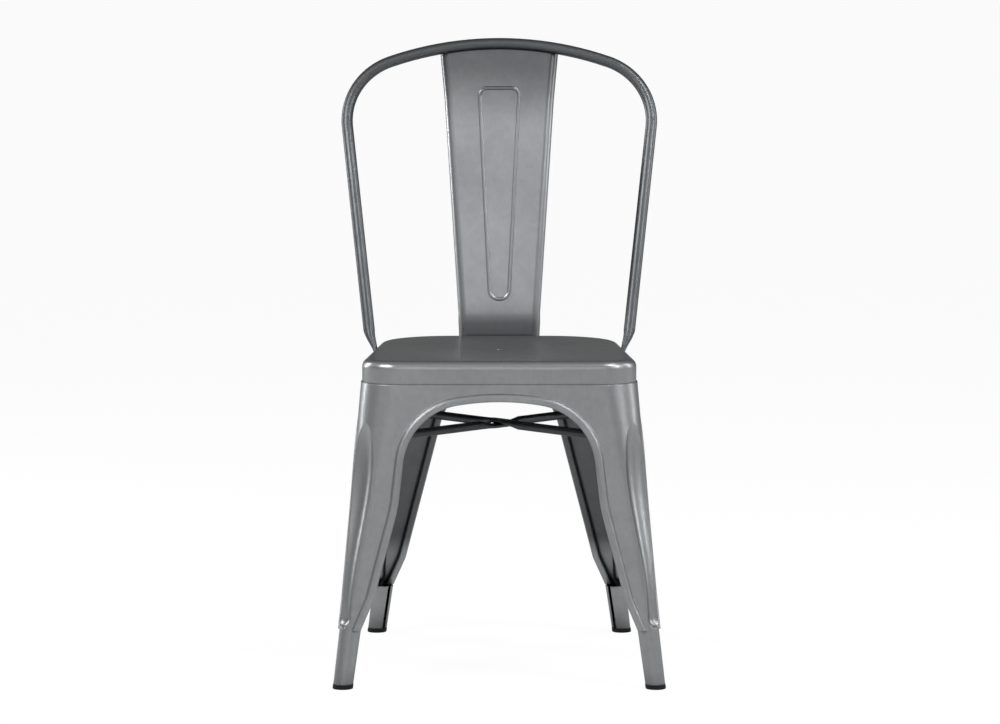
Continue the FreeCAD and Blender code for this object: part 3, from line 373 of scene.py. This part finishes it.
def ring_path(points):
    """The centre line of a bead round a tube."""
    centre = points.mean(axis=0)
    plane = np.linalg.svd(points - centre)[2]
    outward = (points - centre) - np.outer((points - centre) @ plane[2], plane[2])
    radius = np.linalg.norm(outward, axis=1).mean()
    turns = np.linspace(0, 2 * math.pi, RING_SLICES, endpoint=False)
    return [centre + radius * (math.cos(t) * plane[0] + math.sin(t) * plane[1]) for t in turns]


def evenly(path, closed):
    """The path with a point at every step of its length."""
    path = [np.array(point, dtype=float) for point in path] + ([np.array(path[0])] if closed else [])
    dense = []
    for start, end in zip(path, path[1:]):
        count = max(1, round(float(np.linalg.norm(end - start)) / PATH_STEP))
        dense += [start + (end - start) * i / count for i in range(count)]
    return dense if closed else dense + [path[-1]]


# %% The bead group
PROFILE_CORNERS = 14


def bead_group():
    """Nodes that give a path of edges a skin whose radius swells once per pitch."""
    group = bpy.data.node_groups.new("rippled_weld_bead", "GeometryNodeTree")
    group.interface.new_socket("Geometry", in_out="INPUT", socket_type="NodeSocketGeometry")
    for label in ("Radius", "Pitch", "Ripple"):
        group.interface.new_socket(label, in_out="INPUT", socket_type="NodeSocketFloat")
    group.interface.new_socket("Material", in_out="INPUT", socket_type="NodeSocketMaterial")
    group.interface.new_socket("Geometry", in_out="OUTPUT", socket_type="NodeSocketGeometry")
    given = group.nodes.new("NodeGroupInput").outputs

    path = add(group, "GeometryNodeMeshToCurve", i0=given["Geometry"]).outputs[0]
    length = add(group, "GeometryNodeSplineParameter").outputs["Length"]
    turns = add(group, "ShaderNodeMath", {"operation": "DIVIDE"}, i0=length, i1=given["Pitch"]).outputs[0]
    phase = add(group, "ShaderNodeMath", {"operation": "MULTIPLY"}, i0=turns, i1=math.pi).outputs[0]
    wave = add(group, "ShaderNodeMath", {"operation": "SINE"}, i0=phase).outputs[0]
    puddle = add(group, "ShaderNodeMath", {"operation": "ABSOLUTE"}, i0=wave).outputs[0]
    valley = add(group, "ShaderNodeMath", {"operation": "SUBTRACT"}, i0=1.0, i1=puddle).outputs[0]
    dip = add(group, "ShaderNodeMath", {"operation": "MULTIPLY"}, i0=valley, i1=given["Ripple"]).outputs[0]
    share = add(group, "ShaderNodeMath", {"operation": "SUBTRACT"}, i0=1.0, i1=dip).outputs[0]
    radius = add(group, "ShaderNodeMath", {"operation": "MULTIPLY"},
                 i0=share, i1=given["Radius"]).outputs[0]

    profile = add(group, "GeometryNodeCurvePrimitiveCircle", Resolution=PROFILE_CORNERS,
                  Radius=1.0).outputs[0]
    skin = add(group, "GeometryNodeCurveToMesh", Curve=path, Profile_Curve=profile, Scale=radius,
               Fill_Caps=True)
    joined = add(group, "GeometryNodeRealizeInstances", i0=skin.outputs[0]).outputs[0]
    coated = add(group, "GeometryNodeSetMaterial", Geometry=joined, Material=given["Material"]).outputs[0]
    add(group, "NodeGroupOutput", i0=coated)
    return group


WELD_BEAD = bead_group()
print("bead group nodes:", len(WELD_BEAD.nodes))

# %% Lay beads in place of a CAD node
PUDDLE_PITCH = 2.0 * MM
PUDDLE_DEPTH = 0.16             # share of the bead's radius lost between two puddles


def path_edges(paths, closed):
    """The points and edges of all paths in one list each."""
    points, edges = [], []
    for path in paths:
        dense = evenly(path, closed)
        first = len(points)
        points += [tuple(point) for point in dense]
        edges += [(first + i, first + i + 1) for i in range(len(dense) - 1)]
        if closed:
            edges.append((first + len(dense) - 1, first))
    return points, edges


def lay_beads(node, paths, closed, radius):
    """One piece with a rippled bead along each path, in place of a CAD node."""
    mesh = bpy.data.meshes.new(node + "_path")
    mesh.from_pydata(*path_edges(paths, closed), [])
    carrier = bpy.data.objects.new(node + "_path", mesh)
    bpy.context.scene.collection.objects.link(carrier)
    modifier = carrier.modifiers.new("bead", "NODES")
    modifier.node_group = WELD_BEAD
    values = {"Radius": radius, "Pitch": PUDDLE_PITCH, "Ripple": PUDDLE_DEPTH, "Material": weld_steel}
    for item in WELD_BEAD.interface.items_tree:
        if item.in_out == "INPUT" and item.name in values:
            modifier[item.identifier] = values[item.name]
    evaluated = carrier.evaluated_get(bpy.context.evaluated_depsgraph_get())
    baked = bpy.data.meshes.new_from_object(evaluated)
    bpy.data.objects.remove(carrier)
    baked.polygons.foreach_set("use_smooth", [True] * len(baked.polygons))
    piece = bpy.data.objects.new(node + "_rippled", baked)
    bpy.context.scene.collection.objects.link(piece)
    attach(piece, "root")
    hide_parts(node)
    print(node, "beads:", len(paths), "faces:", len(baked.polygons))


# %% The beads
SEAM_RADIUS = 2.0 * MM
RING_RADIUS = 2.16 * MM
lay_beads("splat_top_weld", [seam_path(p) for p in separate_beads("splat_top_weld")], False, SEAM_RADIUS)
lay_beads("brace_end_welds", [ring_path(p) for p in separate_beads("brace_end_welds")], True, RING_RADIUS)

# %% [markdown]
# ## Studio
#
# Steel shows what stands round it, so the studio is built for its reflections. The floor is one large
# pale sheet. The camera sees it nearly burnt out and a reflection sees it half so, as a photographer
# would light a white sweep, but it keeps a faint shadow. The room is an even grey, a little lighter
# overhead. It is darker behind the chair, which leaves the flat seat, seen at a glancing angle, darker
# than the upright sheets.

# %% Floor
FLOOR_HALF = 60.0
BURNT_SHARE = 0.93              # of the floor as the camera sees it
MIRROR_SHARE = 0.5              # of that, as a reflection sees it
floor_corners = [(x * FLOOR_HALF, y * FLOOR_HALF, 0) for x, y in ((-1, -1), (1, -1), (1, 1), (-1, 1))]
floor_mesh = bpy.data.meshes.new("floor")
floor_mesh.from_pydata(floor_corners, [], [(0, 1, 2, 3)])
floor = bpy.data.objects.new("floor", floor_mesh)
bpy.context.scene.collection.objects.link(floor)

paper, tree, output = new_material("white_paper_sweep")
path = add(tree, "ShaderNodeLightPath").outputs
seen = add(tree, "ShaderNodeMath", {"operation": "MULTIPLY_ADD", "use_clamp": True},
           i0=path["Is Glossy Ray"], i1=MIRROR_SHARE, i2=path["Is Camera Ray"]).outputs[0]
lit = add(tree, "ShaderNodeBsdfDiffuse", Color=linear("#f4f4f4")).outputs[0]
burnt = add(tree, "ShaderNodeEmission", Color=linear("#ffffff"), Strength=1.0).outputs[0]
share = add(tree, "ShaderNodeMath", {"operation": "MULTIPLY"}, i0=seen, i1=BURNT_SHARE).outputs[0]
sweep = add(tree, "ShaderNodeMixShader", i0=share, i1=lit, i2=burnt).outputs[0]
tree.links.new(sweep, output.inputs["Surface"])
floor_mesh.materials.append(paper)
print("floor in metres:", 2 * FLOOR_HALF)

# %% Room
ROOM_STRENGTH = 0.85
world = bpy.data.worlds.new("studio")
bpy.context.scene.world = world
world.use_nodes = True
tree = world.node_tree
tree.nodes.clear()
direction = add(tree, "ShaderNodeTexCoord").outputs["Generated"]
axes = add(tree, "ShaderNodeSeparateXYZ", i0=direction).outputs
WALL_STOPS = [(0.0, linear("#bcbcbc")), (0.3, linear("#bcbcbc")), (0.62, linear("#c4c4c4")),
              (1.0, linear("#c8c8c8"))]
walls = add(tree, "ShaderNodeValToRGB", {"stops": WALL_STOPS}, i0=axes["Z"]).outputs["Color"]
behind = add(tree, "ShaderNodeMapRange", EASED, Value=axes["Y"], From_Min=0.1, From_Max=0.8).outputs[0]
room = add(tree, "ShaderNodeMix", MULTIPLIED, i0=behind, i6=walls, i7=linear("#c8c8c8")).outputs[2]
background = add(tree, "ShaderNodeBackground", Color=room, Strength=ROOM_STRENGTH).outputs[0]
world_output = tree.nodes.new("ShaderNodeOutputWorld")
tree.links.new(background, world_output.inputs["Surface"])
print("room nodes:", len(tree.nodes))

# %% [markdown]
# ## Softboxes
#
# A large softbox behind the camera lights the upright sheets. A tall strip on the right draws a bright
# line down the splat's rolled edge. Two narrow strips, at the sides and a little behind, draw thin lines
# on the hoop and on the outer edges. One lamp high on the left and a small one high on the right give
# the spots on the seat's front corners. Each is placed by its bearing from the camera's side, its angle
# above the floor and its distance.

# %% Lamps
AIM = Vector((0, 0, 0.5))


def softbox(name, bearing, rise, distance, width, height, power):
    """A rectangular lamp that faces the chair.

    Bearing (positive to the right) and rise are in degrees, sizes in metres and power in watts.
    """
    data = bpy.data.lights.new(name, "AREA")
    data.shape = "RECTANGLE"
    data.size = width
    data.size_y = height
    data.energy = power
    lamp = bpy.data.objects.new(name, data)
    turn, lift = math.radians(bearing), math.radians(rise)
    away = Vector((math.sin(turn) * math.cos(lift), -math.cos(turn) * math.cos(lift), math.sin(lift)))
    lamp.location = AIM + away * distance
    lamp.rotation_euler = away.to_track_quat("Z", "Y").to_euler()
    bpy.context.scene.collection.objects.link(lamp)


softbox("front_softbox", bearing=0, rise=17, distance=8.0, width=5.0, height=2.6, power=60)
softbox("left_softbox", bearing=-45, rise=37, distance=2.8, width=1.2, height=0.9, power=46)
softbox("right_strip", bearing=58, rise=26, distance=3.0, width=0.4, height=1.4, power=30)
softbox("right_edge_strip", bearing=104, rise=18, distance=3.0, width=0.45, height=1.8, power=26)
softbox("left_edge_strip", bearing=-118, rise=15, distance=3.0, width=0.35, height=1.6, power=44)
softbox("right_high_softbox", bearing=46, rise=52, distance=2.8, width=0.6, height=0.45, power=24)

# %% [markdown]
# ## Last steps
#
# The Standard view shows a colour about as it is written.

# %% View
bpy.context.scene.view_settings.view_transform = "Standard"
